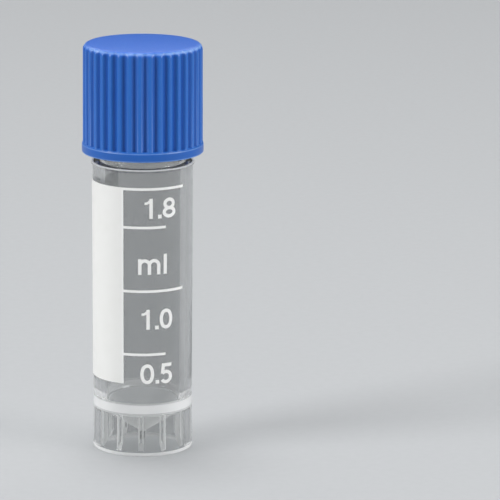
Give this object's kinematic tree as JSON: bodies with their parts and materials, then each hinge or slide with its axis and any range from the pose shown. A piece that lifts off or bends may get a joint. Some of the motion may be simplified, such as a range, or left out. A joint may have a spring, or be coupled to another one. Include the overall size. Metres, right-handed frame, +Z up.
{
  "type": "cryovial",
  "caption": "Self-standing screw-cap cryogenic vial: clear tube with conical floor, ribbed skirt and printed scale, knurled blue cap and flat seal ring.",
  "frame": {"origin": "centre of the ring that the vial stands on, at the standing surface", "axes": "+Z up along the tube's axis, from the skirt to the cap; -Y is the front, with the volume lines; +X is to the right of the front"},
  "size_m": [0.0144, 0.0144, 0.0492],
  "materials": {
    "tube": "clear moulded polypropylene",
    "cap": "satin moulded polypropylene",
    "seal_ring": "translucent silicone",
    "white_ink": "screen-printed ink"
  },
  "bodies": {
    "vial_tube": {"tube": "tube", "printed_panel": "white_ink"},
    "seal": {"seal_ring": "seal_ring"},
    "screw_cap": {"cap": "cap"}
  },
  "joints": [
    {"name": "cap_lift", "type": "slide", "parent": "vial_tube", "child": "seal", "axis": [0, 0, 1], "range_m": [0, 0.012]},
    {"name": "cap_turn", "type": "hinge", "parent": "seal", "child": "screw_cap", "pos_m": [0, 0, 0.0427], "axis": [0, 0, 1], "range_deg": [0, 1440]}
  ],
  "couplings": [
    {"joint": "cap_turn", "follows": "cap_lift", "rad_per_m": 2094.4}
  ]
}
